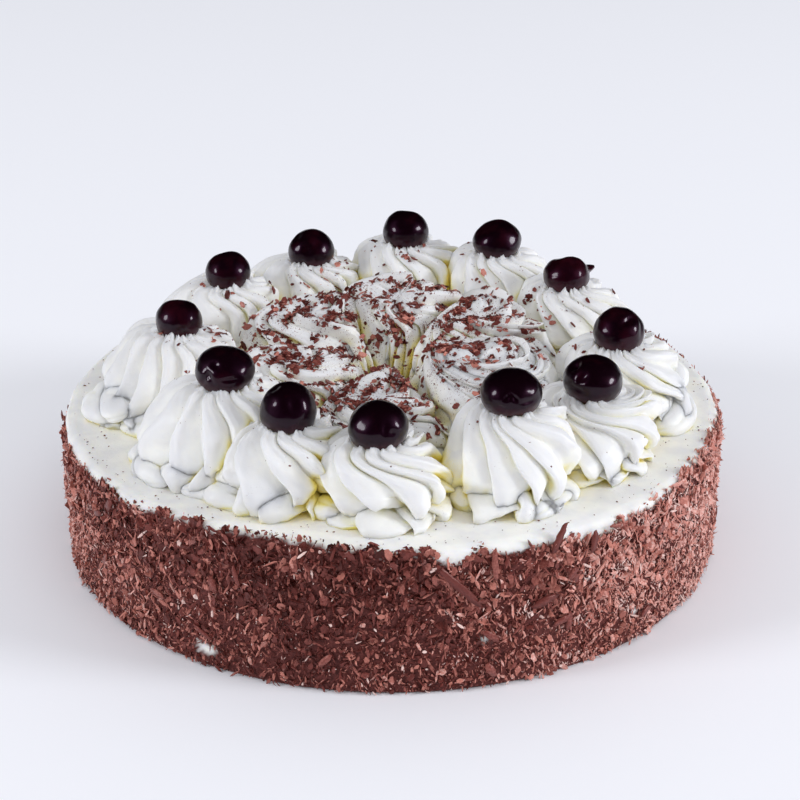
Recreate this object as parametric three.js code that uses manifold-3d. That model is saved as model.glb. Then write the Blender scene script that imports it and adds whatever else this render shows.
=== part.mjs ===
// A black forest cake: a round cream cake whose side is covered with shaved chocolate. A ring of
// twelve piped rosettes stands on its top, each with a cherry, round a ring of six flatter swirls.
// Units are millimetres, +Z is up, and the origin is the middle of the underside.
import * as THREE from "three";
import { mergeVertices } from "three/addons/utils/BufferGeometryUtils.js";
import Module from "manifold-3d";

// ---- Driving dimensions ----
const CAKE_RADIUS = 130; // baked and set in a 26 cm ring
const CAKE_HEIGHT = 57;
const CAKE_SIDES = 72;
const RIM_ROUNDING = 5; // the cream rolls over from the top into the side
const RIM_STEPS = 3;
const FOOT_CHAMFER = 1;

const CLEARANCE = 0.3; // between pieces that touch each other
const WELD_DISTANCE = 0.001; // points nearer to each other than this are one

const OUTER_RING_RADIUS = 91.5; // from the cake's axis to the middle of each rosette
const ROSETTE_REACH = 27; // from a rosette's middle outwards and inwards
const ROSETTE_WIDEST = 32; // from its middle sideways, where the neighbours leave room
const ROSETTE_RIDGES = 11;
const CHERRY_SINK = 4.5; // how deep a cherry sits in its rosette
const SEAT_CLEARANCE = 0.45; // all round a cherry, measured on its facets

const INNER_RING_RADIUS = 37.5;
const SWIRL_REACH = 24.5;
const SWIRL_RIDGES = 9;
const SWIRL_HEIGHT = 23;

const RIDGE_DEPTH = 2.6; // from the mean surface of the piped cream to a crest or a groove
const FACETS_PER_RIDGE = 3;
const PIPED_TWIST = THREE.MathUtils.degToRad(50); // a ridge's turn between its top and its foot
const SIDE_BULGE = 0.75; // exponent of the upright outline: lower is fuller
const FOOT_TUCK = 0.92; // the foot's width as a share of the widest place
const OUTLINE_TURNS = [8, 30, 50, 70]; // degrees up the outline at which it has a ring of points

const CHERRY_SEGMENTS = 10;
const CHERRY_BANDS = 6;
const CHERRY_FLATNESS = 0.96; // height as a share of width

// Each rosette was piped by hand, so each has its own place in the ring, and its cherry has its own
// place, height and size. Angles are in degrees, anticlockwise seen from above, from +X.
const ROSETTES = [
  { angle: 86, cherry: { angle: 86, radius: 89, height: 94, size: 19.5 } },
  { angle: 58, cherry: { angle: 60, radius: 90.5, height: 93.5, size: 20 } },
  { angle: 29, cherry: { angle: 34, radius: 88, height: 88.5, size: 19 } },
  { angle: 352, cherry: { angle: 352.5, radius: 89, height: 88, size: 20 } },
  { angle: 320, cherry: { angle: 325, radius: 90.5, height: 85, size: 21 } },
  { angle: 295, cherry: { angle: 299.5, radius: 86.5, height: 91, size: 21 } },
  { angle: 269, cherry: { angle: 267, radius: 90, height: 84.5, size: 20.5 } },
  { angle: 246, cherry: { angle: 245.5, radius: 88.5, height: 86.5, size: 20 } },
  { angle: 225, cherry: { angle: 224.5, radius: 85, height: 93, size: 20.5 } },
  { angle: 187, cherry: { angle: 177, radius: 84.5, height: 86.5, size: 18.5 } },
  { angle: 145, cherry: { angle: 141.5, radius: 88, height: 88, size: 18.5 } },
  { angle: 114, cherry: { angle: 113.5, radius: 87.5, height: 88.5, size: 19.5 } },
];
const SWIRL_ANGLES = [86, 27, 329, 262, 206, 146];

// ---- Materials ----
const shavedSide = new THREE.MeshStandardMaterial({ color: 0x8a5a50, roughness: 0.75, metalness: 0 });
const whippedCream = new THREE.MeshStandardMaterial({ color: 0xf4f2ee, roughness: 0.5, metalness: 0 });
const cherrySkin = new THREE.MeshStandardMaterial({ color: 0x1d0509, roughness: 0.15, metalness: 0 });

// ---- Solids ----
const wasm = await Module();
wasm.setup();

/** The manifold-3d solid of a closed three.js geometry. */
function solidOf(geometry) {
  const bare = geometry.clone();
  bare.deleteAttribute("normal");
  bare.deleteAttribute("uv");
  const merged = mergeVertices(bare, WELD_DISTANCE);
  return new wasm.Manifold(
    new wasm.Mesh({
      numProp: 3,
      vertProperties: merged.attributes.position.array,
      triVerts: new Uint32Array(merged.index.array),
    }),
  );
}

/** The three.js geometry of a manifold-3d solid. */
function geometryOf(solid) {
  const mesh = solid.getMesh();
  const geometry = new THREE.BufferGeometry();
  geometry.setAttribute("position", new THREE.BufferAttribute(mesh.vertProperties, 3));
  geometry.setIndex(new THREE.BufferAttribute(mesh.triVerts, 1));
  geometry.computeVertexNormals();
  return geometry;
}

/** A profile of [radius, height] points turned round the upright axis. */
function turned(profile, segments) {
  const points = profile.map(([radius, height]) => new THREE.Vector2(radius, height));
  return new THREE.LatheGeometry(points, segments).rotateX(Math.PI / 2);
}

function cakeBody() {
  const rim = Array.from({ length: RIM_STEPS + 1 }, (_, step) => {
    const turn = (step / RIM_STEPS) * (Math.PI / 2);
    return [
      CAKE_RADIUS - RIM_ROUNDING * (1 - Math.cos(turn)),
      CAKE_HEIGHT - RIM_ROUNDING * (1 - Math.sin(turn)),
    ];
  });
  const foot = [[CAKE_RADIUS - FOOT_CHAMFER, 0], [CAKE_RADIUS, FOOT_CHAMFER]];
  return turned([[0, 0], ...foot, ...rim, [0, CAKE_HEIGHT]], CAKE_SIDES);
}

/** The upright outline of piped cream, as shares of its reach and height, from foot to top. */
function pipedOutline() {
  const swells = OUTLINE_TURNS.map((degrees) => {
    const turn = THREE.MathUtils.degToRad(degrees);
    return [Math.cos(turn) ** SIDE_BULGE, Math.sin(turn)];
  });
  return [[0, 0], [FOOT_TUCK, 0], ...swells, [0, 1]];
}

/**
 * One mound of cream piped through a star nozzle, its foot at the origin and its +X pointing out
 * from the cake's axis. Its ridges turn as they go down, and its sides are flat where they meet the
 * walls of its sector.
 */
function pipedCream({ reach, halfWidth, height, ridges, ringRadius, sector }) {
  const geometry = turned(pipedOutline(), ridges * FACETS_PER_RIDGE);
  const position = geometry.attributes.position;
  const uv = geometry.attributes.uv;
  const axis = new THREE.Vector2(-ringRadius, 0);
  const walls = [
    new THREE.Vector2(-Math.sin(sector.after), Math.cos(sector.after)),
    new THREE.Vector2(-Math.sin(sector.before), -Math.cos(sector.before)),
  ];
  const spot = new THREE.Vector2();
  for (let i = 0; i < position.count; i++) {
    const share = Math.hypot(position.getX(i), position.getY(i));
    const rise = position.getZ(i);
    const crest = -Math.cos(uv.getX(i) * ridges * 2 * Math.PI);
    const turn = uv.getX(i) * 2 * Math.PI + PIPED_TWIST * (1 - rise);
    const swell = share * (1 + (RIDGE_DEPTH / reach) * crest);
    spot.set(swell * reach * Math.cos(turn), swell * halfWidth * Math.sin(turn));
    for (const wall of walls) {
      const beyond = spot.clone().sub(axis).dot(wall) + CLEARANCE / 2;
      if (beyond > 0) spot.addScaledVector(wall, -beyond);
    }
    position.setXYZ(i, spot.x, spot.y, rise * height);
  }
  return geometry;
}

function cherryBall(size) {
  return new THREE.SphereGeometry(size / 2, CHERRY_SEGMENTS, CHERRY_BANDS)
    .rotateX(Math.PI / 2)
    .scale(1, 1, CHERRY_FLATNESS);
}

// ---- Assembly ----
const cake = new THREE.Group();

function add(group, name, geometry, material) {
  const mesh = new THREE.Mesh(geometry, material);
  mesh.name = name;
  group.add(mesh);
  return mesh;
}

/** Half the angle in radians between a piece's direction and its neighbour's, both in degrees. */
function halfGap(angle, neighbour) {
  return THREE.MathUtils.degToRad(THREE.MathUtils.euclideanModulo(neighbour - angle, 360)) / 2;
}

/** The sector between the half-way lines to the two neighbours in a ring that runs clockwise. */
function sectorOf(angles, index) {
  const angle = angles[index];
  const before = angles[(index + 1) % angles.length];
  const after = angles[(index + angles.length - 1) % angles.length];
  return { after: halfGap(angle, after), before: halfGap(before, angle) };
}

/** A group on the cake's top, at an angle and a distance from its axis, with +X pointing out. */
function placeOnTop(angle, radius) {
  const arm = new THREE.Group();
  arm.rotation.z = THREE.MathUtils.degToRad(angle);
  const place = new THREE.Group();
  place.position.set(radius, 0, CAKE_HEIGHT + CLEARANCE);
  arm.add(place);
  cake.add(arm);
  return place;
}

/** How wide a mound may be: as its sector where that is narrow, and no wider than its limit. */
function halfWidthIn(sector, radius, limit) {
  const mean = (sector.after + sector.before) / 2;
  return Math.min(limit, radius * Math.sin(mean) + RIDGE_DEPTH);
}

function numbered(stem, index) {
  return `${stem}_${String(index + 1).padStart(2, "0")}`;
}

add(cake, "cake_body", cakeBody(), shavedSide);

const rosetteAngles = ROSETTES.map((rosette) => rosette.angle);
ROSETTES.forEach(({ angle, cherry }, index) => {
  const place = placeOnTop(angle, OUTER_RING_RADIUS);
  const sector = sectorOf(rosetteAngles, index);
  const offset = THREE.MathUtils.degToRad(cherry.angle - angle);
  const seat = new THREE.Vector3(
    cherry.radius * Math.cos(offset) - OUTER_RING_RADIUS,
    cherry.radius * Math.sin(offset),
    cherry.height - CAKE_HEIGHT - CLEARANCE,
  );
  const cream = pipedCream({
    reach: ROSETTE_REACH,
    halfWidth: halfWidthIn(sector, OUTER_RING_RADIUS, ROSETTE_WIDEST),
    height: seat.z - (cherry.size / 2) * CHERRY_FLATNESS + CHERRY_SINK,
    ridges: ROSETTE_RIDGES,
    ringRadius: OUTER_RING_RADIUS,
    sector,
  });
  const hollow = cherryBall(cherry.size + 2 * SEAT_CLEARANCE).translate(seat.x, seat.y, seat.z);
  const seated = solidOf(cream).subtract(solidOf(hollow));
  add(place, numbered("rosette", index), geometryOf(seated), whippedCream);
  add(place, numbered("cherry", index), cherryBall(cherry.size), cherrySkin).position.copy(seat);
});

SWIRL_ANGLES.forEach((angle, index) => {
  const sector = sectorOf(SWIRL_ANGLES, index);
  const cream = pipedCream({
    reach: SWIRL_REACH,
    halfWidth: halfWidthIn(sector, INNER_RING_RADIUS, SWIRL_REACH),
    height: SWIRL_HEIGHT,
    ridges: SWIRL_RIDGES,
    ringRadius: INNER_RING_RADIUS,
    sector,
  });
  add(placeOnTop(angle, INNER_RING_RADIUS), numbered("inner_swirl", index), cream, whippedCream);
});

export default cake;
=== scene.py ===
"""A black forest cake: cream rosettes, dark cherries and shaved chocolate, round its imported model.

Lengths are in metres, +Z is up, and the cake stands at the origin. Every place and size is worked out
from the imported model's boxes and a few named measures of the piping, the cherries and the shavings.
"""

from __future__ import annotations

import logging
import math
from dataclasses import dataclass
from enum import Enum
from functools import lru_cache
from typing import Iterable

import bmesh
import bpy
import numpy as np
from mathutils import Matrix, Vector

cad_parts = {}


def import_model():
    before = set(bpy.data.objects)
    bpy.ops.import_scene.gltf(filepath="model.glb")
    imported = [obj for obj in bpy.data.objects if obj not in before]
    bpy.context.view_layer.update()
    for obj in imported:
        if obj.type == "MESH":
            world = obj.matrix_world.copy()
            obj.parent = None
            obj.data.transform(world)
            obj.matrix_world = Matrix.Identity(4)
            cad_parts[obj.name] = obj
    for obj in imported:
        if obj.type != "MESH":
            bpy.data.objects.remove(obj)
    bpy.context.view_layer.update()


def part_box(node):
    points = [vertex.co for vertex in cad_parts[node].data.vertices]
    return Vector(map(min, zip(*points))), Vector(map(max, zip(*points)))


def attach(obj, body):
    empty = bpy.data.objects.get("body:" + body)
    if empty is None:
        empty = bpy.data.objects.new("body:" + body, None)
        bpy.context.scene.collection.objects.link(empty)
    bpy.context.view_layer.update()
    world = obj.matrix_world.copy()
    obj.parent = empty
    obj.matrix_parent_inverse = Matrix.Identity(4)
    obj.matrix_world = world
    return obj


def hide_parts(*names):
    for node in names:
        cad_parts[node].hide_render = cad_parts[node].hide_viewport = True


log = logging.getLogger("cake")

MM = 0.001
TAU = 2 * math.pi
BODY = "root"

Points = np.ndarray
Numbers = np.ndarray

UP = np.array([0.0, 0.0, 1.0])
CAKE_MIDDLE = Vector((0, 0, 0.06))


class Slot(Enum):
    """The record's material slots."""

    COAT = "cake_coat"
    CREAM = "whipped_cream"
    CHERRY = "cherry_skin"
    CHOCOLATE = "shaved_chocolate"


# ---------------------------------------------------------------- small tools


def smooth(low: float, high: float, value: Numbers) -> Numbers:
    """A soft step from 0 at low to 1 at high.

    Args:
        low: Where the step starts.
        high: Where it ends.
        value: The numbers to map.

    Returns:
        Numbers between 0 and 1.
    """
    share = np.clip((np.asarray(value, float) - low) / (high - low), 0.0, 1.0)
    return share * share * (3 - 2 * share)


def polar(radius: Numbers, angle: Numbers) -> Points:
    """Points in the level plane, as an array with x and y in its last axis."""
    return np.stack([radius * np.cos(angle), radius * np.sin(angle)], axis=-1)


def level(radius: Numbers, angle: Numbers) -> Points:
    """Points at height 0, as an array with x, y and z in its last axis."""
    flat = polar(radius, angle)
    return np.concatenate([flat, np.zeros((len(flat), 1))], 1)


def slanting(out: Points, slant: Numbers) -> Points:
    """Directions along the cake's side, turned from upright.

    Args:
        out: The directions out of the cake there.
        slant: The turn of each in radians.

    Returns:
        Unit vectors.
    """
    east = np.stack([-out[:, 1], out[:, 0], np.zeros(len(out))], -1)
    return np.cos(slant)[:, None] * UP + np.sin(slant)[:, None] * east


def wrapped(angle: Numbers) -> Numbers:
    """Angles brought to within half a turn of 0."""
    return np.remainder(angle + math.pi, TAU) - math.pi


def between(ends: tuple[float, float], share: Numbers) -> Numbers:
    """Numbers a share of the way from one end to the other."""
    return ends[0] + (ends[1] - ends[0]) * share


@dataclass
class Waves:
    """Smooth, seeded unevenness: sine waves that run in many directions.

    Attributes:
        length: The usual distance between two crests.
        seed: Fixes the directions and phases.
        count: How many waves are added up.
    """

    length: float
    seed: int
    count: int = 16

    def at(self, points: Points) -> Numbers:
        """The height of the waves, mostly between -1 and 1.

        Args:
            points: An array of places, x, y and z in its last axis.

        Returns:
            One number for each point.
        """
        rng = np.random.default_rng(self.seed)
        ways = rng.normal(size=(self.count, 3))
        ways /= np.linalg.norm(ways, axis=1, keepdims=True)
        ways *= TAU / (self.length * rng.uniform(0.65, 1.6, (self.count, 1)))
        phases = rng.uniform(0, TAU, self.count)
        return np.sin(points @ ways.T + phases).sum(-1) / math.sqrt(2 * self.count)


def places_of(mesh: bpy.types.Mesh) -> Points:
    """The places of a mesh's vertices as an array."""
    found = np.empty(len(mesh.vertices) * 3, np.float32)
    mesh.vertices.foreach_get("co", found)
    return found.reshape(-1, 3).astype(float)


def move_to(mesh: bpy.types.Mesh, places: Points) -> None:
    """Moves a mesh's vertices.

    Args:
        mesh: The mesh.
        places: The new place of each vertex.
    """
    mesh.vertices.foreach_set("co", places.astype(np.float32).ravel())
    mesh.update()


def mark(mesh: bpy.types.Mesh, name: str, values: Numbers) -> None:
    """Writes one number for each vertex, which a material reads by its name.

    Args:
        mesh: The mesh.
        name: The attribute's name.
        values: The numbers.
    """
    made = mesh.attributes.new(name, "FLOAT", "POINT")
    made.data.foreach_set("value", values.astype(np.float32))


def mesh_from(shape: bmesh.types.BMesh, name: str) -> bpy.types.Mesh:
    """Turns a bmesh into a mesh and frees it.

    Args:
        shape: The bmesh.
        name: The mesh's name.

    Returns:
        The mesh.
    """
    mesh = bpy.data.meshes.new(name)
    shape.to_mesh(mesh)
    shape.free()
    return mesh


@lru_cache
def ball(columns: int, bands: int) -> bpy.types.Mesh:
    """A unit sphere, made once for each pair of counts.

    Args:
        columns: Faces round it.
        bands: Faces from pole to pole.

    Returns:
        A mesh that no piece uses, to be copied.
    """
    shape = bmesh.new()
    bmesh.ops.create_uvsphere(shape, u_segments=columns, v_segments=bands, radius=1)
    bmesh.ops.recalc_face_normals(shape, faces=shape.faces)
    return mesh_from(shape, f"ball_{columns}_{bands}")


def joined_balls(name: str, sizes: Iterable[tuple[int, int]]) -> bpy.types.Mesh:
    """One mesh of several unit spheres, one after the other.

    Args:
        name: Its name.
        sizes: The columns and bands of each sphere.

    Returns:
        The mesh.
    """
    shape = bmesh.new()
    for columns, bands in sizes:
        shape.from_mesh(ball(columns, bands))
    return mesh_from(shape, name)


def add_object(name: str, data: bpy.types.ID) -> bpy.types.Object:
    """Makes an object and adds it to the scene.

    Args:
        name: Its name.
        data: Its mesh, light or camera.

    Returns:
        The object.
    """
    made = bpy.data.objects.new(name, data)
    bpy.context.scene.collection.objects.link(made)
    return made


def place_piece(
    mesh: bpy.types.Mesh, finish: bpy.types.Material, replaces: str = "", flat: bool = False
) -> bpy.types.Object:
    """Makes a mesh a piece of the cake.

    Args:
        mesh: The mesh, whose name the piece takes.
        finish: Its material.
        replaces: The CAD node that it stands for, if any.
        flat: Whether its faces look flat.

    Returns:
        The piece.
    """
    mesh.materials.append(finish)
    mesh.shade_smooth()
    if flat:
        mesh.shade_flat()
    piece = add_object(mesh.name, mesh)
    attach(piece, BODY)
    if replaces:
        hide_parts(replaces)
    log.info("%s: %d faces", piece.name, len(mesh.polygons))
    return piece


@dataclass
class NodeBox:
    """The place of a CAD node, read from its box.

    Attributes:
        low: Its lowest corner.
        high: Its highest corner.
    """

    low: Vector
    high: Vector

    @classmethod
    def of(cls, node: str) -> NodeBox:
        """The box of a CAD node."""
        return cls(*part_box(node))

    @property
    def middle(self) -> Vector:
        """The middle of the box."""
        return (self.low + self.high) / 2

    @property
    def angle(self) -> float:
        """The direction of its middle from the cake's axis."""
        return math.atan2(self.middle.y, self.middle.x)

    @property
    def radius(self) -> float:
        """The distance of its middle from the cake's axis."""
        return math.hypot(self.middle.x, self.middle.y)

    @property
    def width(self) -> float:
        """Its larger level side."""
        return max(self.high.x - self.low.x, self.high.y - self.low.y)


# ---------------------------------------------------------------- finishes


class Wiring:
    """A material and a short way of adding nodes to it."""

    def __init__(self, name: str) -> None:
        """Makes the material.

        Args:
            name: Its name.
        """
        self.material = bpy.data.materials.new(name)
        self.material.use_nodes = True
        self.tree = self.material.node_tree
        self.surface = self.tree.nodes["Principled BSDF"]

    def add(self, kind: str, inputs: dict | None = None, **settings: object) -> bpy.types.Node:
        """Adds a node.

        Args:
            kind: The node's type.
            inputs: Values or sockets for its inputs, by name or number.
            settings: Values for its own properties.

        Returns:
            The node.
        """
        node = self.tree.nodes.new(kind)
        for name, value in settings.items():
            setattr(node, name, value)
        self.feed(node, inputs or {})
        return node

    def feed(self, node: bpy.types.Node, inputs: dict) -> None:
        """Sets or joins a node's inputs.

        Args:
            node: The node.
            inputs: Values or sockets, by name or number.
        """
        for name, value in inputs.items():
            if isinstance(value, bpy.types.NodeSocket):
                self.tree.links.new(value, node.inputs[name])
            else:
                node.inputs[name].default_value = value

    def read(self, attribute: str) -> bpy.types.NodeSocket:
        """The numbers that a mesh carries under a name."""
        return self.add("ShaderNodeAttribute", attribute_name=attribute).outputs["Fac"]

    def object_place(self) -> bpy.types.NodeSocket:
        """The place on the piece."""
        return self.add("ShaderNodeTexCoord").outputs["Object"]

    def noise(self, size: float, detail: float = 3.0, rough: float = 0.5) -> bpy.types.NodeSocket:
        """A noise with blotches of a size in metres."""
        inputs = {"Vector": self.object_place(), "Scale": 1 / size, "Detail": detail, "Roughness": rough}
        return self.add("ShaderNodeTexNoise", inputs).outputs["Fac"]

    def span(
        self, value: bpy.types.NodeSocket, source: tuple, target: tuple = (0, 1)
    ) -> bpy.types.NodeSocket:
        """Maps one range of numbers to another, and clamps it."""
        inputs = {0: value, 1: source[0], 2: source[1], 3: target[0], 4: target[1]}
        return self.add("ShaderNodeMapRange", inputs).outputs[0]

    def maths(self, operation: str, first: object, second: object) -> bpy.types.NodeSocket:
        """The result of a sum on two numbers."""
        return self.add("ShaderNodeMath", {0: first, 1: second}, operation=operation).outputs[0]

    def plus(self, first: object, second: object, share: object) -> bpy.types.NodeSocket:
        """The first number with a share of the second added to it."""
        return self.maths("ADD", first, self.maths("MULTIPLY", second, share))

    def ramp(self, value: bpy.types.NodeSocket, stops: list[tuple]) -> bpy.types.NodeSocket:
        """A colour that changes with a number.

        Args:
            value: The number.
            stops: Pairs of a number and a colour.

        Returns:
            The colour's socket.
        """
        node = self.add("ShaderNodeValToRGB", {0: value})
        marks = node.color_ramp.elements
        while len(marks) < len(stops):
            marks.new(1.0)
        for element, (at, colour) in zip(marks, stops):
            element.position = at
            element.color = (*colour, 1)
        return node.outputs["Color"]

    def blend(self, share: object, first: object, second: object) -> bpy.types.NodeSocket:
        """A mix of two colours, each a socket or three numbers."""
        first, second = [(*c, 1) if isinstance(c, tuple) else c for c in (first, second)]
        return self.add("ShaderNodeMix", {0: share, 6: first, 7: second}, data_type="RGBA").outputs[2]

    def bump(self, height: bpy.types.NodeSocket, depth: float, strength: float = 1.0) -> bpy.types.NodeSocket:
        """A normal that follows a height, depth metres between its ends."""
        inputs = {"Height": height, "Distance": depth, "Strength": strength}
        return self.add("ShaderNodeBump", inputs).outputs["Normal"]

    def finish(self, inputs: dict) -> bpy.types.Material:
        """Sets the surface's inputs and gives the finished material."""
        self.feed(self.surface, inputs)
        return self.material


@dataclass(frozen=True)
class CreamFinish:
    """Whipped cream: near white and softly glossy, with painted yellow shade where its folds shut out the
    light, and painted light in its shallow grooves.

    Attributes:
        name: The material's name.
        crest: Colour of the open surface.
        shade: Colour of a shallow groove, painted light that stands in for the light that comes through the
            cream.
        fold: Colour in a fold, painted yellow shade.
        slot: Colour deep in a gap, painted deep yellow shade.
        dust: Colour of the chocolate dust on it.
        dark_dust: Colour of its darker grains.
        roughness: Of the surface.
        depth: How far light goes into it.
        shade_reach: How far off the cream that shuts a fold in may be.
        blotch_size: Size of the blotches in the folds' painted yellow shade.
        gap_shade_size: Size of the patches of painted yellow shade in the gaps.
        grain_size: Size of a grain of dust.
        tone_size: Distance over which the dust's tone changes.
        patch_size: Size of the patches in which dust lies.
        foam_size: Size of the bubbles in the surface.
        foam_depth: Their depth.
    """

    name: str = "whipped_cream"
    crest: tuple = (0.785, 0.782, 0.79)
    shade: tuple = (0.92, 0.912, 0.865)
    fold: tuple = (0.92, 0.895, 0.68)
    slot: tuple = (1.0, 0.82, 0.24)
    dust: tuple = (0.30, 0.10, 0.09)
    dark_dust: tuple = (0.12, 0.035, 0.03)
    roughness: float = 0.42
    depth: float = 4.2 * MM
    shade_reach: float = 18 * MM
    blotch_size: float = 9 * MM
    gap_shade_size: float = 12 * MM
    grain_size: float = 0.75 * MM
    tone_size: float = 1.6 * MM
    patch_size: float = 8 * MM
    foam_size: float = 1.3 * MM
    foam_depth: float = 0.12 * MM

    def stops(self) -> list[tuple]:
        """Its colours from the open surface to the deepest gap, with painted light in shallow grooves and
        painted shade further in, as a ramp's stops.
        """
        shallow = [(0.0, self.crest), (0.16, self.shade), (0.30, self.shade)]
        return [*shallow, (0.60, self.fold), (0.95, self.slot)]

    def shut_in(self, wiring: Wiring) -> bpy.types.NodeSocket:
        """How far each place is shut in by the cream round it, which sets its painted shade.

        Args:
            wiring: The material that reads it.

        Returns:
            A number from 0 on a crest to 1 deep in a gap.
        """
        gap = wiring.read("gap")
        # Painted shade: ambient occlusion, with the gap and fold marks, picks the yellow of the folds and
        # gaps.
        nearby = wiring.add("ShaderNodeAmbientOcclusion", {"Distance": self.shade_reach}, samples=6)
        shut = wiring.span(nearby.outputs["AO"], (0.52, 0.06))
        shut = wiring.maths("MULTIPLY", shut, wiring.span(gap, (0, 1), (0.40, 2.1)))
        shut = wiring.plus(shut, wiring.read("fold"), 0.42)
        blotch = wiring.span(wiring.noise(self.blotch_size, 2), (0.36, 0.64), (0.35, 1.30))
        # Painted shade: wide patches of yellow in the gaps.
        gap_shade = wiring.span(wiring.noise(self.gap_shade_size, 2), (0.42, 0.60), (0.0, 0.50))
        return wiring.plus(wiring.maths("MULTIPLY", shut, blotch), gap, gap_shade)

    def tint(self, wiring: Wiring) -> bpy.types.NodeSocket:
        """The cream's colour: painted yellow shade in its gaps, and brown where fine chocolate lies on it.

        Args:
            wiring: The material that takes it.

        Returns:
            The colour's socket.
        """
        white = wiring.ramp(self.shut_in(wiring), self.stops())
        grains = wiring.plus(wiring.noise(self.grain_size, 4, 0.7), wiring.noise(self.patch_size, 2), 0.30)
        grains = wiring.plus(grains, wiring.read("dusted"), 0.40)
        brown = wiring.blend(wiring.noise(self.tone_size, 2), self.dust, self.dark_dust)
        return wiring.blend(wiring.span(grains, (0.86, 0.90)), white, brown)

    def make(self) -> bpy.types.Material:
        """Makes the material.

        Returns:
            The material.
        """
        wiring = Wiring(self.name)
        foam = wiring.noise(self.foam_size, 4, 0.6)
        inputs = {
            "Base Color": self.tint(wiring),
            "Roughness": self.roughness,
            "Specular IOR Level": 0.35,
            "Subsurface Weight": 0.8,
            "Subsurface Radius": (1.0, 0.95, 0.86),
            "Subsurface Scale": self.depth,
            "Normal": wiring.bump(foam, self.foam_depth),
        }
        return wiring.finish(inputs)


@dataclass(frozen=True)
class ChocolateFinish:
    """Milk chocolate, shaved: matt where it broke, with a faint gloss where the blade cut.

    Attributes:
        name: The material's name.
        dark: Its darkest tone.
        middle: Its usual tone.
        light: Its pale tone.
        painted_glint: A painted highlight, the pale tone of shavings that catch the light.
        gloss: The tone of its faint gloss.
        roughness: Of the surface.
        grain_size: Size of the grain in it.
        grain_depth: Its depth.
    """

    name: str = "shaved_chocolate"
    dark: tuple = (0.040, 0.004, 0.003)
    middle: tuple = (0.185, 0.044, 0.036)
    light: tuple = (0.63, 0.243, 0.188)
    painted_glint: tuple = (0.90, 0.68, 0.62)
    gloss: tuple = (1.0, 0.62, 0.56)
    roughness: float = 0.34
    grain_size: float = 0.8 * MM
    grain_depth: float = 0.08 * MM

    def tones(self) -> list[tuple]:
        """Its tones in order, ending in a painted highlight, as a ramp's stops."""
        return [(0.0, self.dark), (0.38, self.middle), (0.78, self.light), (1.0, self.painted_glint)]

    def make(self) -> bpy.types.Material:
        """Makes the material.

        Returns:
            The material.
        """
        wiring = Wiring(self.name)
        grain = wiring.noise(self.grain_size, 3, 0.6)
        # The tone mark carries each shaving's own tone together with painted light, painted shade and painted
        # highlights.
        tone = wiring.maths("ADD", wiring.read("tone"), wiring.span(grain, (0.3, 0.7), (-0.09, 0.09)))
        inputs = {
            "Base Color": wiring.ramp(tone, self.tones()),
            "Roughness": self.roughness,
            "Specular IOR Level": 0.45,
            "Specular Tint": (*self.gloss, 1),
            "Normal": wiring.bump(grain, self.grain_depth),
        }
        return wiring.finish(inputs)


@dataclass(frozen=True)
class CoatFinish:
    """The cake's coat: smooth cream on top, with the cream's painted shade, and chocolate pressed into it
    round the side, kept dark as painted shade between the shavings.

    Attributes:
        cream: The cream's finish.
        chocolate: The chocolate's finish.
        crumb_roughness: Roughness of the pressed-in crumbs.
        grain_size: Size of the crumbs.
        grain_depth: Their depth.
    """

    cream: CreamFinish
    chocolate: ChocolateFinish
    crumb_roughness: float = 0.7
    grain_size: float = 1.1 * MM
    grain_depth: float = 0.25 * MM

    def make(self) -> bpy.types.Material:
        """Makes the material.

        Returns:
            The material.
        """
        wiring = Wiring("cake_coat")
        covered = wiring.read("covered")
        grain = wiring.noise(self.grain_size, 5, 0.65)
        # The chocolate under the shavings is its own crumb colour, kept between dark and middle tones as
        # painted shade between the shavings.
        tones = [(0.0, self.chocolate.dark), (1.0, self.chocolate.middle)]
        brown = wiring.ramp(wiring.span(grain, (0.28, 0.72)), tones)
        inputs = {
            "Base Color": wiring.blend(covered, self.cream.tint(wiring), brown),
            "Roughness": wiring.span(covered, (0, 1), (self.cream.roughness, self.crumb_roughness)),
            "Specular IOR Level": 0.3,
            "Subsurface Weight": wiring.span(covered, (0, 1), (0.4, 0.0)),
            "Subsurface Radius": (1.0, 0.85, 0.6),
            "Subsurface Scale": self.cream.depth,
            "Normal": wiring.bump(grain, self.grain_depth, 0.5),
        }
        return wiring.finish(inputs)


@dataclass(frozen=True)
class CherryFinish:
    """The skin of a dark cherry in syrup: near black and wet, maroon in patches, with a painted glow of light
    through the skin at its lower side.

    Attributes:
        maroon_tone: Colour of the maroon patches, and of the painted glow at the lower side.
        skin: Colour elsewhere.
        sheen: Colour of the soft sheen from under the skin.
        mottle_size: Size of the patches of thinner skin.
        dimple_size: Size of the dimples in the skin.
        dimple_depth: Their depth.
    """

    maroon_tone: tuple = (0.060, 0.003, 0.008)
    skin: tuple = (0.0040, 0.0004, 0.0018)
    sheen: tuple = (0.42, 0.09, 0.30)
    mottle_size: float = 6 * MM
    dimple_size: float = 1.3 * MM
    dimple_depth: float = 0.05 * MM

    def make(self) -> bpy.types.Material:
        """Makes the material.

        Returns:
            The material.
        """
        wiring = Wiring("cherry_skin")
        mottle = wiring.span(wiring.noise(self.mottle_size, 3), (0.35, 0.75), (-0.2, 0.12))
        # The mark read here holds each cherry's own maroon share and a painted glow of light at its lower
        # side; the mottle is the skin's own.
        maroon_and_glow = wiring.maths("ADD", wiring.read("maroon_and_glow"), mottle)
        dimples = wiring.noise(self.dimple_size, 3, 0.6)
        inputs = {
            "Base Color": wiring.blend(wiring.span(maroon_and_glow, (0, 1)), self.skin, self.maroon_tone),
            "Roughness": 0.38,
            "Specular IOR Level": 0.30,
            "Specular Tint": (*self.sheen, 1),
            "Coat Weight": 0.62,
            "Coat Roughness": 0.11,
            "Coat IOR": 1.38,
            "Normal": wiring.bump(dimples, self.dimple_depth),
        }
        return wiring.finish(inputs)


# ---------------------------------------------------------------- the cake's body


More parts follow.
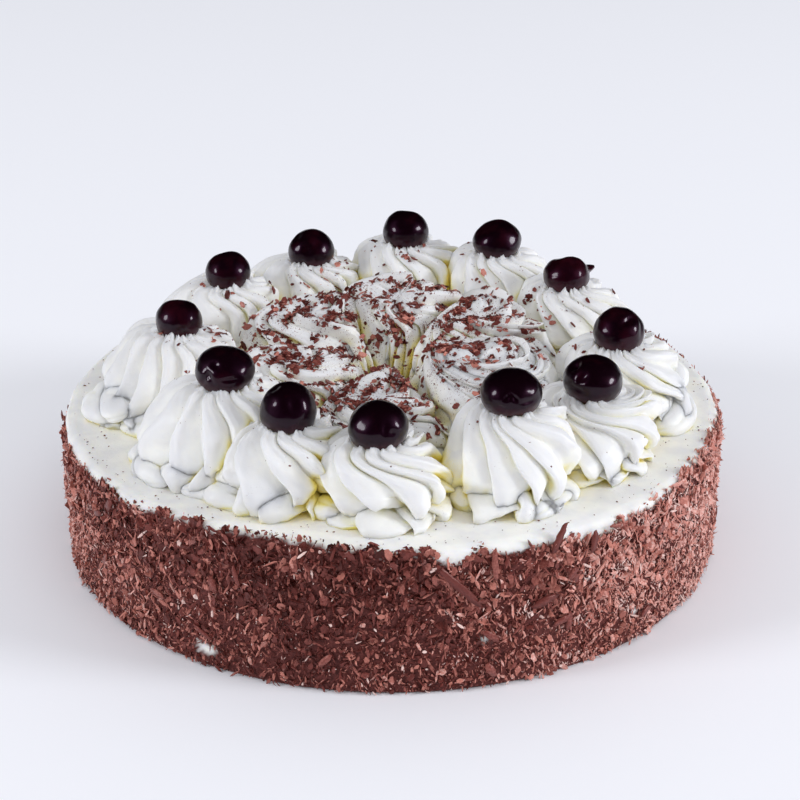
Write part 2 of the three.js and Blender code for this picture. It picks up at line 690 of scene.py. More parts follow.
@dataclass
class CakeBody:
    """The round cake: cream on top, rolled over the rim, and chocolate pressed on all round.

    Attributes:
        radius: Of the cake.
        height: Of its flat top.
        rim: Rounding of the top edge.
        inset: How far the foot stands back from the node's side; the side above it stands back less.
        flat_share: Where the broad flat middle of the top begins, as a share of the radius.
        columns: Faces round it.
        sectors: Sections that are spun before the faces between them are cut.
        line_depth: How far below the top the chocolate starts.
        bare: Where it starts lower: direction and spread in degrees, and how much lower.
        worn: Spots where cream shows through: direction in degrees, height and size.
    """

    radius: float
    height: float
    rim: float = 4.2 * MM
    inset: float = 1.4 * MM
    flat_share: float = 0.86
    columns: int = 720
    sectors: int = 24
    line_depth: float = 1.2 * MM
    bare: tuple = (
        (168, 34, 6.5 * MM),
        (12, 16, 3.4 * MM),
        (118, 30, 4 * MM),
        (62, 20, 3 * MM),
        (-61, 23, 2.9 * MM),
        (-57, 3.5, 2.6 * MM),
        (-80.6, 2.4, 3.4 * MM),
        (-143, 11, 2.2 * MM),
        (-106, 8, -1.2 * MM),
    )
    worn: tuple = (
        (-120.8, 7.4 * MM, 3.1 * MM),
        (-75.9, 20.1 * MM, 1.3 * MM),
        (-58.3, 34.8 * MM, 1.1 * MM),
        (-47.1, 12.7 * MM, 1.3 * MM),
    )

    # Rows of faces along each part of the outline.
    FOOT_ROWS = 4
    SIDE_ROWS = 62
    RIM_ROWS = 10
    MARGIN_ROWS = 16
    MIDDLE_ROWS = 14

    def outline(self) -> list[tuple[float, float]]:
        """The upright outline, from the middle of the foot round to the middle of the top.

        Returns:
            Pairs of a radius and a height.
        """
        foot = [(r, 0.0) for r in np.linspace(0, self.radius - self.inset, self.FOOT_ROWS + 1)]
        side_top = self.height - self.rim
        wall = self.radius - self.inset * 0.4
        side = [(wall, h) for h in np.linspace(0.6 * MM, side_top, self.SIDE_ROWS)]
        turns = np.linspace(0, math.pi / 2, self.RIM_ROWS + 2)[1:]
        centre = wall - self.rim
        rim = [(centre + self.rim * math.cos(t), side_top + self.rim * math.sin(t)) for t in turns]
        flat = self.flat_share * self.radius
        margin = [(r, self.height) for r in np.linspace(centre, flat, self.MARGIN_ROWS)[1:]]
        middle = [(r, self.height) for r in np.linspace(flat, 0, self.MIDDLE_ROWS)[1:]]
        return foot + side + rim + margin + middle

    def line(self, angle: Numbers) -> Numbers:
        """The height to which chocolate covers the side.

        Args:
            angle: Directions from the cake's axis.

        Returns:
            A height for each.
        """
        ring = level(self.radius, angle)
        ragged = 0.9 * MM * Waves(15 * MM, 31).at(ring) + 0.8 * MM * Waves(4 * MM, 32).at(ring)
        drop = np.zeros_like(angle)
        for direction, spread, depth in self.bare:
            off = wrapped(angle - math.radians(direction))
            drop += depth * np.exp(-((off / math.radians(spread)) ** 4))
        return self.height - self.line_depth - drop + ragged

    def wear(self, places: Points) -> Numbers:
        """How bare the side is.

        Args:
            places: Places on it.

        Returns:
            A number from 0 to 1 for each.
        """
        bare = np.zeros(len(places))
        ragged = 1 + 0.4 * Waves(2.2 * MM, 33).at(places)
        for direction, height, size in self.worn:
            spot = np.array([*polar(self.radius, math.radians(direction)), height])
            away = (places - spot) * [0.75, 0.75, 1.4]
            bare = np.maximum(bare, np.exp(-((np.linalg.norm(away, axis=1) * ragged / size) ** 4)))
        return bare

    def build(self) -> bpy.types.Mesh:
        """Spins the outline and works its surface.

        Returns:
            The mesh, with the attributes that the coat's finish reads.
        """
        shape = bmesh.new()
        chain = [shape.verts.new((r, 0.0, h)) for r, h in self.outline()]
        edges = [shape.edges.new(pair) for pair in zip(chain, chain[1:])]
        bmesh.ops.spin(
            shape,
            geom=chain + edges,
            cent=(0, 0, 0),
            axis=(0, 0, 1),
            angle=TAU,
            steps=self.sectors,
            use_merge=True,
        )
        bmesh.ops.remove_doubles(shape, verts=shape.verts, dist=0.005 * MM)
        rings = [edge for edge in shape.edges if self.runs_round(*edge.verts)]
        cuts = self.columns // self.sectors - 1
        bmesh.ops.subdivide_edges(shape, edges=rings, cuts=cuts, use_grid_fill=True)
        bmesh.ops.recalc_face_normals(shape, faces=shape.faces)
        mesh = mesh_from(shape, "cake_coat")
        self.round_off(mesh)
        self.work(mesh)
        return mesh

    @staticmethod
    def runs_round(first: bmesh.types.BMVert, second: bmesh.types.BMVert) -> bool:
        """Whether two neighbours are as far out and as high as each other."""
        apart = abs(first.co.xy.length - second.co.xy.length), abs(first.co.z - second.co.z)
        return max(apart) < 1e-6

    def round_off(self, mesh: bpy.types.Mesh) -> None:
        """Moves the points between the spun sections out to the circle.

        Args:
            mesh: The spun mesh.
        """
        at = places_of(mesh)
        half = math.pi / self.sectors
        off = np.mod(np.arctan2(at[:, 1], at[:, 0]), 2 * half) - half
        at[:, :2] *= (np.cos(off) / math.cos(half))[:, None]
        move_to(mesh, at)

    def work(self, mesh: bpy.types.Mesh) -> None:
        """Gives the side its crumbly relief and the top its spatula marks.

        Args:
            mesh: The spun mesh.
        """
        at = places_of(mesh)
        across = np.hypot(at[:, 0], at[:, 1])
        angle = np.arctan2(at[:, 1], at[:, 0])
        out = at * [1, 1, 0] / np.maximum(across, MM)[:, None]
        on_side = smooth(self.radius - self.rim - 1 * MM, self.radius - 1 * MM, across)
        covered = smooth(-0.7 * MM, 0.7 * MM, self.line(angle) - at[:, 2])
        covered *= smooth(self.radius - 6 * MM, self.radius - 3.5 * MM, across) * (1 - self.wear(at))
        crumbs = np.abs(Waves(3.1 * MM, 5).at(at)) + 0.6 * np.abs(Waves(1.9 * MM, 6).at(at))
        lumps = Waves(24 * MM, 7).at(at)
        lift = on_side * (0.55 * MM * lumps + covered * (0.9 * MM * crumbs - 0.3 * MM))
        lift *= smooth(0, 2.5 * MM, at[:, 2])
        on_top = smooth(self.height - 1.5 * MM, self.height - 0.3 * MM, at[:, 2])
        strokes = 0.28 * MM * Waves(46 * MM, 8).at(at) + 0.07 * MM * Waves(13 * MM, 9).at(at * [1, 1, 0])
        rise = on_top * (strokes - 0.35 * MM)
        move_to(mesh, at + out * lift[:, None] + UP * rise[:, None])
        mark(mesh, "covered", covered)
        # Painted light and shade: the fold mark lightens the flat top towards the cream's groove colour, and
        # the gap mark paints yellow shade over the middle of the top.
        mark(mesh, "fold", np.full(len(at), 0.3))
        mark(mesh, "gap", 0.22 * (1 - smooth(0.72, 0.84, across / self.radius)))
        mark(mesh, "dusted", np.zeros(len(at)))

    def dress(self, finish: bpy.types.Material) -> bpy.types.Object:
        """Makes the body a piece."""
        return place_piece(self.build(), finish, "cake_body")


# ---------------------------------------------------------------- piped cream


@dataclass
class Layer:
    """One layer of a mound: a star of cream that was turned as it was piped.

    Attributes:
        reach: Half its depth, out from the cake's axis.
        half_width: Half its width.
        low: Height of its lower end.
        high: Height of its top.
        ridges: Ridges round it, as the nozzle has teeth.
        depth: From crest to groove.
        twist: How far a ridge turns on its way down, in degrees.
        curl: How far it goes on turning across the top, in degrees.
        fullness: Exponent of the upright outline: lower is steeper.
        tips: How far apart in height the ridges' lower ends are.
        sway: How far the outline strays from an oval, as a share.
        cap: Share of the climb over which the ridges fade out at the top.
        lumps: How far the surface swells and sinks.
        slump: How uneven its height is, as a share.
        seed: Fixes its unevenness.
        columns: Faces round it.
        bands: Faces from foot to top.
    """

    reach: float
    half_width: float
    low: float
    high: float
    ridges: int = 12
    depth: float = 4.2 * MM
    twist: float = 70
    curl: float = 30
    fullness: float = 0.5
    tips: float = 0.0
    sway: float = 0.03
    cap: float = 0.42
    lumps: float = 0.9 * MM
    slump: float = 0.0
    seed: int = 0
    columns: int = 192
    bands: int = 76

    SOLE = 0.08  # share of the sphere that becomes the underside
    LEAN = 0.34  # how far a crest leans over its groove, as a share of a ridge's width
    SPLIT = 0.30  # depth of the split in a ridge, as a share of the ridge's own
    PITS = 0.20 * MM  # depth of the fine unevenness
    CRUMPLE = 0.30 * MM  # depth of the creases near the top
    COMBED = 0.16 * MM  # depth of the fine lines along a ridge

    def outline(self, climb: Numbers) -> tuple[Numbers, Numbers]:
        """The upright outline.

        Args:
            climb: From 0 at the foot to 1 at the top.

        Returns:
            Shares of the reach and of the height.
        """
        turn = np.clip(climb, 0, 1) * math.pi / 2
        tuck = 1 - 0.15 * (1 - smooth(0, 0.2, climb))
        return tuck * np.cos(turn) ** self.fullness, np.sin(turn) ** 0.95

    def shape(self, sphere: Points) -> tuple[Points, Numbers]:
        """Maps a unit sphere to the layer.

        Args:
            sphere: Points of the sphere.

        Returns:
            The places, with +X out of the cake, and how deep in a fold each is.
        """
        rng = np.random.default_rng(self.seed)
        column = np.arctan2(sphere[:, 1], sphere[:, 0])
        band = 0.5 + np.arcsin(np.clip(sphere[:, 2], -1, 1)) / math.pi
        climb = np.clip((band - self.SOLE) / (1 - self.SOLE), 0, 1)
        under = np.clip(band / self.SOLE, 0, 1)
        share, rise = self.outline(climb)
        around = np.stack([np.cos(column), np.sin(column), 1.3 * rise], -1)

        phase = np.mod(column * self.ridges / TAU, 1.0)
        arch = np.clip(1 - np.abs(2 * phase - 1) ** 2.0, 0, 1)
        crest = 2 * arch ** (0.62 + 0.9 * (1 - climb) ** 2) - 1
        ridge = np.floor(column * self.ridges / TAU + self.ridges).astype(int) % self.ridges
        tip_height = rng.uniform(0, 1, self.ridges)[ridge] * np.sin(math.pi * phase) ** 0.6
        strength = 1 + rng.uniform(-0.28, 0.22, self.ridges)[ridge] * np.sin(math.pi * phase) ** 2
        fade = np.minimum(1, (1 - climb) / self.cap) ** 0.75 * (1 + 0.3 * (1 - climb) ** 2)
        folds = 1 + 0.30 * Waves(0.75, self.seed + 1).at(around)
        split = np.clip(Waves(0.9, self.seed + 5).at(around) - 0.25, 0, 1)

        swell = self.depth / 2 * strength * fade * crest * folds
        swell += self.depth * fade * split * self.SPLIT * np.cos(2 * TAU * phase)
        swell += self.lumps * Waves(0.8, self.seed + 2).at(around) * (1 - climb**3)
        swell += self.PITS * Waves(0.16, self.seed + 3).at(around)
        swell += self.CRUMPLE * Waves(0.10, self.seed + 10).at(around) * smooth(0.45, 0.85, climb)
        swell += self.COMBED * np.cos(5 * TAU * phase + 2 * Waves(0.5, self.seed + 7).at(around)) * fade
        swell *= under

        pitch = TAU / self.ridges
        drop = 1 - smooth(0.0, 1.0, climb)
        turn = column + math.radians(self.twist) * drop
        turn += math.radians(self.curl) * (1 - smooth(0.5, 1.0, climb))
        turn += 0.34 * pitch * Waves(1.1, self.seed + 4).at(around)
        turn -= self.LEAN * pitch * (crest + 1) / 2 * fade
        way = polar(np.ones_like(turn), turn)
        oval = 1 + self.sway * Waves(1.6, self.seed + 6).at(np.concatenate([way, rise[:, None]], 1))

        height = self.high - self.low
        slope = self.slope(climb, height)
        rise = rise * (1 + self.slump * Waves(1.5, self.seed + 8).at(level(1.0, turn)))
        flat = (share * under * oval)[:, None] * way * [self.reach, self.half_width]
        flat += way * (swell * slope[:, 0])[:, None]
        foot = self.low + self.tips * tip_height * (1 - rise)
        lift = foot + rise * height + swell * slope[:, 1] - 0.35 * swell * (1 - climb) * under
        lift = np.where(band < self.SOLE, np.minimum(lift, foot), lift)
        places = np.concatenate([flat, np.maximum(lift, 0.0)[:, None]], 1)
        groove = np.clip((1 - crest) / 2, 0, 1) ** 0.8 * fade
        return places, groove

    def slope(self, climb: Numbers, height: float) -> Points:
        """The outline's outward direction.

        Args:
            climb: From 0 at the foot to 1 at the top.
            height: The layer's height.

        Returns:
            A level and an upright share for each.
        """
        step = 0.01
        ahead, above = self.outline(np.clip(climb + step, 0, 1))
        behind, below = self.outline(np.clip(climb - step, 0, 1))
        slope = np.stack([(above - below) * height, (behind - ahead) * self.reach], -1)
        return slope / np.maximum(np.linalg.norm(slope, axis=1, keepdims=True), 1e-9)


@dataclass
class Roll:
    """A roll of cream that lies round part of a mound's foot, where the piping began or ended.

    Attributes:
        reach: Distance of its middle line from the mound's middle, out from the cake's axis.
        half_width: The same, sideways.
        middle: Direction of its middle, in degrees from the way out of the cake.
        length: How far it runs round the foot, in degrees.
        thickness: Radius of the roll.
        rise: Height of its middle line above the foot.
        seed: Fixes its unevenness.
        columns: Faces round it.
        bands: Faces from end to end.
    """

    reach: float
    half_width: float
    middle: float
    length: float
    thickness: float
    rise: float = 0.0
    seed: int = 0
    columns: int = 50
    bands: int = 52

    TEETH = 3  # ridges round a roll

    def shape(self, sphere: Points) -> tuple[Points, Numbers]:
        """Maps a unit sphere to the roll.

        Args:
            sphere: Points of the sphere.

        Returns:
            The places, with +X out of the cake, and how deep in a fold each is.
        """
        round_it = np.arctan2(sphere[:, 1], sphere[:, 0])
        along = np.arcsin(np.clip(sphere[:, 2], -1, 1)) / math.pi
        taper = np.clip(1 - np.abs(2 * along) ** 2.6, 0, 1) ** 0.6
        way = math.radians(self.middle) + math.radians(self.length) * along
        crest = np.abs(np.cos(self.TEETH * (round_it - 2.0 * along) / 2)) ** 0.7
        thick = self.thickness * taper * (0.82 + 0.24 * crest)
        thick *= 1 + 0.15 * np.sin(8 * along + self.seed)
        core = np.stack([self.reach * np.cos(way), self.half_width * np.sin(way)], -1)
        core += polar(1.4 * MM * np.sin(5 * along + self.seed), way)
        flat = core + polar(np.ones_like(way), way) * (thick * np.cos(round_it))[:, None]
        lift = self.rise + 0.55 * self.thickness + 0.9 * thick * np.sin(round_it)
        places = np.concatenate([flat, lift[:, None]], 1)
        places += 0.35 * MM * (Waves(8 * MM, self.seed + 4).at(places) * taper)[:, None]
        places[:, 2] = np.maximum(places[:, 2], 0.0)
        return places, (1 - crest) * taper


@dataclass
class Hand:
    """How one mound was piped.

    Attributes:
        ridges: Ridges round its upper layer.
        twist: Their turn on the way down, in degrees.
        depth: Their depth.
        curl: Their turn across the top, in degrees.
        skirt: How much wider than the upper layer the lower one is, as a share.
        tips: How uneven the lower ends of the ridges are.
        rolls: Middle, length, thickness and rise of each roll at the foot.
        rise: Its height, as a share of the usual.
        shift: How much further out than its node it stands.
    """

    ridges: int = 12
    twist: float = 70
    depth: float = 4.4 * MM
    curl: float = 30
    skirt: float = 1.03
    tips: float = 9 * MM
    rolls: tuple = ()
    rise: float = 1.0
    shift: float = 0.0


@dataclass
class Mound:
    """One mound of cream, piped through a star nozzle.

    Attributes:
        name: Its piece's name.
        node: The CAD node that it stands for.
        ring: Radius of the ring that it stands in.
        angle: Its direction from the cake's axis.
        foot: Height of its foot.
        top: Height of its top above its foot.
        layers: Its layers and rolls.
        seat: Middle of the cherry on it, if it has one.
        seat_radius: Radius of that cherry.
        wedge: How far its sides follow its sector, from 0 to 1.
        lip: How high the cream is pushed up round the cherry.
        share: Half the angle that it has in its ring.
        dusted: How thickly fine chocolate lies on it.
        dust_reach: How far from the cake's axis that dust reaches.
        index: Its number, which fixes its unevenness.
    """

    name: str
    node: str
    ring: float
    angle: float
    foot: float
    top: float
    layers: list
    seat: Vector | None = None
    seat_radius: float = 0.0
    wedge: float = 0.85
    lip: float = 2.1 * MM
    share: float = 0.3
    dusted: float = 0.5
    dust_reach: float = 72 * MM
    index: int = 0

    SKIN_GAP = 0.12 * MM  # between a cherry and the cream that it presses on

    def build(self) -> bpy.types.Mesh:
        """Shapes spheres into the mound's layers and rolls.

        Returns:
            The mesh, in place on the cake.
        """
        mesh = joined_balls(self.name, [(layer.columns, layer.bands) for layer in self.layers])
        spheres = places_of(mesh)
        places, folds, first = [], [], 0
        for layer in self.layers:
            last = first + len(ball(layer.columns, layer.bands).vertices)
            shaped, fold = layer.shape(spheres[first:last])
            places.append(shaped)
            folds.append(fold)
            first = last
        final = self.press(self.on_cake(np.concatenate(places)))
        move_to(mesh, final)
        # Painted shade: the fold and gap marks make the cream yellow low in its grooves, beside the next
        # mound, at its foot and in the middle well.
        low = 1 - smooth(0.10, 0.72, (final[:, 2] - self.foot) / self.top)
        mark(mesh, "fold", np.concatenate(folds) * (0.40 + 0.60 * low))
        mark(mesh, "gap", self.gap(final))
        across = np.hypot(final[:, 0], final[:, 1])
        mark(mesh, "dusted", self.dusted * (1 - smooth(0.6, 1.1, across / self.dust_reach)))
        return mesh

    def gap(self, places: Points) -> Numbers:
        """How near the cream is to a gap, beside the next mound, at the foot, or in the middle well, which
        sets the painted yellow shade there.

        Args:
            places: Places on it.

        Returns:
            A number from 0 to 1 for each.
        """
        angle = np.abs(wrapped(np.arctan2(places[:, 1], places[:, 0]) - self.angle))
        climb = (places[:, 2] - self.foot) / self.top
        beside = smooth(0.62, 1.0, angle / self.share)
        beside *= 1 - smooth(0.55, 0.95, climb)
        beside *= 0.45 if self.seat is None else 1.0
        well = 0.75 - 0.75 * smooth(11 * MM, 24 * MM, np.hypot(places[:, 0], places[:, 1]))
        low = 0.25 - 0.25 * smooth(0.05, 0.40, climb)
        return np.maximum(np.maximum(beside, well), low)

    def seat_offset(self) -> Numbers:
        """The way from the mound's own middle to below its cherry.

        Returns:
            How far out of the cake, and how far sideways.
        """
        away = Vector((self.seat.x, self.seat.y)) - Vector(polar(self.ring, self.angle))
        cos, sin = math.cos(-self.angle), math.sin(-self.angle)
        return np.array([away.x * cos - away.y * sin, away.x * sin + away.y * cos])

    def on_cake(self, places: Points) -> Points:
        """Leans the mound to its cherry, and turns and moves it into place on the cake.

        Args:
            places: Its places, with +X out of the cake and its foot at the origin.

        Returns:
            The same places on the cake.
        """
        if self.seat is not None:
            places = places.copy()
            places[:, :2] += self.seat_offset() * smooth(0.1, 1.0, places[:, 2:] / self.top)
        cos, sin = math.cos(self.angle), math.sin(self.angle)
        out = places[:, 0] + self.ring
        side = places[:, 1] * (1 + self.wedge * places[:, 0] / self.ring)
        return np.stack([out * cos - side * sin, out * sin + side * cos, places[:, 2] + self.foot], -1)

    def press(self, places: Points) -> Points:
        """Presses the cream down and aside where the cherry sits in it.

        Args:
            places: The mound's places on the cake.

        Returns:
            The pressed places.
        """
        if self.seat is None:
            return places
        away = places - np.array(self.seat)
        distance = np.linalg.norm(away, axis=1)
        closest = self.seat_radius + self.SKIN_GAP
        push = np.where(distance < closest, closest / np.maximum(distance, 0.01 * MM), 1.0)
        near = 1 - smooth(0.2 * MM, 3.0 * MM, distance * push - closest)
        ragged = Waves(4.2 * MM, self.index).at(places) + 0.55 * Waves(1.5 * MM, self.index + 50).at(places)
        climbs = np.clip(0.30 + ragged, 0, 1.4) * near
        pressed = np.array(self.seat) + away * push[:, None]
        pressed[:, 2] += self.lip * climbs
        return pressed

    def dress(self, finish: bpy.types.Material) -> bpy.types.Object:
        """Makes the mound a piece."""
        return place_piece(self.build(), finish, self.node)


# Each rosette's own hand, in the order of the nodes. A roll is given by its middle and its length in
# degrees round the foot, its thickness and its rise.
ROSETTE_HANDS = [
    Hand(ridges=12, twist=30),
    Hand(ridges=12, twist=28),
    Hand(ridges=12, twist=30, rolls=((10, 90, 5.0 * MM, 0),)),
    Hand(ridges=13, twist=46, rolls=((-10, 110, 5.6 * MM, 0), (40, 70, 4.6 * MM, 6 * MM))),
    Hand(ridges=12, twist=90, curl=70, depth=4.2 * MM),
    Hand(ridges=13, twist=40, curl=36, rolls=((20, 60, 3.6 * MM, 0),)),
    Hand(ridges=12, twist=42, curl=36, depth=5.0 * MM, rolls=((-62, 50, 4.4 * MM, 0),)),
    Hand(ridges=11, twist=34, depth=5.0 * MM, rolls=((-48, 70, 5.2 * MM, 0),)),
    Hand(ridges=13, twist=14, curl=20, depth=5.0 * MM, rolls=((-36, 84, 5.8 * MM, 0), (40, 50, 4.2 * MM, 0))),
    Hand(ridges=15, twist=16, curl=20, depth=4.8 * MM,
         rolls=((6, 84, 6.0 * MM, 0), (74, 60, 5.0 * MM, 0), (30, 60, 4.6 * MM, 6 * MM))),
    Hand(ridges=13, twist=28, rolls=((10, 80, 4.6 * MM, 0),)),
    Hand(ridges=12, twist=26),
]

# The inner swirls' hands, in the order of their nodes: the third one ended in a level spiral.
SWIRL_HANDS = [
    Hand(ridges=11, depth=6.0 * MM, twist=10, curl=60, rise=1.05, shift=1.0 * MM),
    Hand(ridges=9, depth=5.8 * MM, twist=30, curl=100, shift=1.0 * MM),
    Hand(ridges=2, depth=6.4 * MM, twist=20, curl=430, shift=1.0 * MM),
    Hand(ridges=9, depth=5.4 * MM, twist=26, curl=90, rise=0.66, shift=3.5 * MM),
    Hand(ridges=10, depth=6.0 * MM, twist=26, curl=80, rise=0.86, shift=2.0 * MM),
    Hand(ridges=10, depth=6.2 * MM, twist=14, curl=80, rise=0.98, shift=1.5 * MM),
]


@dataclass
class PipedRing:
    """A ring of piped mounds.

    Attributes:
        stem: The start of its nodes' names.
        hands: How each one was piped.
        top_of_cake: Height of the flat top.
        seats: The cherries' boxes, or none.
    """

    stem: str
    hands: list[Hand]
    top_of_cake: float
    seats: list[NodeBox]

    SINK = 0.9 * MM  # how far a mound's foot sinks into the top of the cake
    CHERRY_SINK = 4.5 * MM  # how far the cream rises past the lowest point of a cherry
    OVERLAP = 2.4 * MM  # how far a mound reaches past its share of the ring

    def mounds(self) -> list[Mound]:
        """Works the mounds out from their nodes' boxes.

        Returns:
            The mounds, in the order of the nodes.
        """
        boxes = [NodeBox.of(f"{self.stem}_{i + 1:02d}") for i in range(len(self.hands))]
        angles = [box.angle for box in boxes]
        made = []
        for i, (box, hand) in enumerate(zip(boxes, self.hands)):
            before, after = angles[i - 1], angles[(i + 1) % len(angles)]
            share = ((before - after) % TAU) / 4
            seat = self.seats[i] if self.seats else None
            made.append(self.mound(i, box, hand, share, seat))
        return made

    def mound(self, index: int, box: NodeBox, hand: Hand, share: float, seat: NodeBox | None) -> Mound:
        """One mound.

        Args:
            index: Its place in the ring.
            box: Its node's box.
            hand: How it was piped.
            share: Half the angle that it has in the ring.
            seat: The box of its cherry, if it has one.

        Returns:
            The mound.
        """
        crown = box.high.z + 2 * MM if seat is None else seat.low.z + self.CHERRY_SINK
        top = (crown - self.top_of_cake + self.SINK) * hand.rise
        width = box.radius * math.sin(share) + self.OVERLAP
        layers = self.flat_layers if seat is None else self.tall_layers
        return Mound(
            name=f"piped_{self.stem}_{index + 1:02d}",
            node=f"{self.stem}_{index + 1:02d}",
            ring=box.radius + hand.shift,
            angle=box.angle,
            foot=self.top_of_cake - self.SINK,
            top=top,
            layers=layers(hand, width, top, 100 + 17 * index + 1000 * (seat is None)),
            seat=None if seat is None else seat.middle,
            seat_radius=0.0 if seat is None else seat.width / 2,
            share=share,
            dusted=0.26 if seat is None else 0.22,
            index=index,
        )

    def tall_layers(self, hand: Hand, width: float, top: float, seed: int) -> list:
        """The layers of a rosette: a skirt, the twisted star on it, and rolls at its foot.

        Args:
            hand: How it was piped.
            width: Half the room that it has sideways.
            top: Its height.
            seed: Fixes its unevenness.

        Returns:
            The layers.
        """
        reach, width = 24.0 * MM, min(width, 27.5 * MM)
        upper = Layer(reach, width, 2.0 * MM, top, ridges=hand.ridges, depth=hand.depth, twist=hand.twist,
                      curl=hand.curl, tips=hand.tips, seed=seed)
        skirt = Layer(reach * hand.skirt, width * hand.skirt, 0.0, 0.40 * top, ridges=hand.ridges - 1,
                      depth=4.0 * MM, twist=hand.twist * 0.4, curl=0, fullness=0.6, sway=0.08, slump=0.45,
                      seed=seed + 9, columns=150, bands=34)
        rolls = [
            Roll(reach - 0.2 * thick, width - 0.4 * thick, middle, length, thick, rise, seed + int(middle))
            for middle, length, thick, rise in hand.rolls
        ]
        return [upper, skirt, *rolls]

    def flat_layers(self, hand: Hand, width: float, top: float, seed: int) -> list:
        """The layers of a flatter swirl: a drum with a lower spiral on top.

        Args:
            hand: How it was piped.
            width: Half the room that it has sideways.
            top: Its height.
            seed: Fixes its unevenness.

        Returns:
            The layers.
        """
        reach, width = 27.5 * MM, min(width + 4 * MM, 25 * MM)
        drum = Layer(reach, width, 0.0, top, ridges=hand.ridges, depth=hand.depth, twist=hand.twist,
                     curl=hand.curl, fullness=0.46, cap=0.16, lumps=2.2 * MM, sway=0.06, slump=0.08,
                     seed=seed)
        wall = Layer(reach + 0.4 * MM, width + 0.4 * MM, 0.0, 0.72 * top, ridges=12, depth=5.2 * MM, twist=14,
                     curl=0, fullness=0.4, lumps=1.2 * MM, slump=0.12, seed=seed + 9, columns=150, bands=40)
        return [drum, wall]

    def dress(self, finish: bpy.types.Material) -> list[bpy.types.Object]:
        """Makes every mound a piece."""
        return [mound.dress(finish) for mound in self.mounds()]


# ---------------------------------------------------------------- cherries


@dataclass
class Dent:
    """A dent, groove or bump in a cherry's skin.

    Attributes:
        azimuth: Its direction in degrees, anticlockwise from +X.
        climb: Its height above the cherry's middle, in degrees.
        size: Its radius on the skin, in degrees.
        depth: Its depth in millimetres, negative for a bump.
        stretch: How many times longer than wide it is.
        slant: The turn of its long side from upright, in degrees.
    """

    azimuth: float
    climb: float
    size: float
    depth: float
    stretch: float = 1.0
    slant: float = 0.0

    def lower(self, ways: Points) -> Numbers:
        """How far this dent lowers the skin.

        Args:
            ways: Unit vectors from the cherry's middle.

        Returns:
            A depth for each.
        """
        azimuth, climb = math.radians(self.azimuth), math.radians(self.climb)
        out = math.cos(climb)
        centre = np.array([math.cos(azimuth) * out, math.sin(azimuth) * out, math.sin(climb)])
        east = np.array([-math.sin(azimuth), math.cos(azimuth), 0.0])
        north = np.cross(centre, east)
        slant = math.radians(self.slant)
        long_way = math.cos(slant) * north + math.sin(slant) * east
        wide_way = math.cos(slant) * east - math.sin(slant) * north
        x, y = ways @ wide_way, ways @ long_way / self.stretch
        front = ways @ centre > 0
        size = math.radians(self.size)
        return self.depth * MM * np.exp(-((x * x + y * y) / size**2)) * front


@dataclass
class Fruit:
    """What sets one cherry apart.

    Attributes:
        squash: Its height as a share of its node's width.
        widen: Its width as a share of its node's width.
        ripeness: How much of its skin is thin and maroon.
        dents: The dents and bumps in its skin.
    """

    squash: float
    widen: float
    ripeness: float
    dents: tuple[Dent, ...]


@dataclass
class Cherry:
    """One dark cherry.

    Attributes:
        index: Its number.
        box: Its node's box.
        fruit: What makes it its own.
    """

    index: int
    box: NodeBox
    fruit: Fruit

    COLUMNS = 80
    BANDS = 54

    def build(self) -> bpy.types.Mesh:
        """Shapes a sphere into the cherry.

        Returns:
            The mesh, in place.
        """
        mesh = joined_balls(f"dark_cherry_{self.index:02d}", [(self.COLUMNS, self.BANDS)])
        ways = places_of(mesh)
        ways /= np.linalg.norm(ways, axis=1, keepdims=True)
        radius = self.box.width / 2
        skin = np.full(len(ways), radius)
        skin += radius * 0.030 * Waves(1.5, 300 + self.index).at(ways)
        skin += radius * 0.009 * Waves(0.45, 400 + self.index).at(ways)
        lowered = sum(dent.lower(ways) for dent in self.fruit.dents)
        shape = [self.fruit.widen, self.fruit.widen, self.fruit.squash]
        places = ways * (skin - lowered)[:, None] * shape
        move_to(mesh, places + np.array(self.box.middle))
        # Painted light: the lower side is marked for a maroon glow, on top of each cherry's own ripeness.
        mark(mesh, "maroon_and_glow", smooth(0.1, -0.85, ways[:, 2]) * 0.8 + self.fruit.ripeness)
        return mesh

    def dress(self, finish: bpy.types.Material) -> bpy.types.Object:
        """Makes the cherry a piece."""
        return place_piece(self.build(), finish, f"cherry_{self.index:02d}")


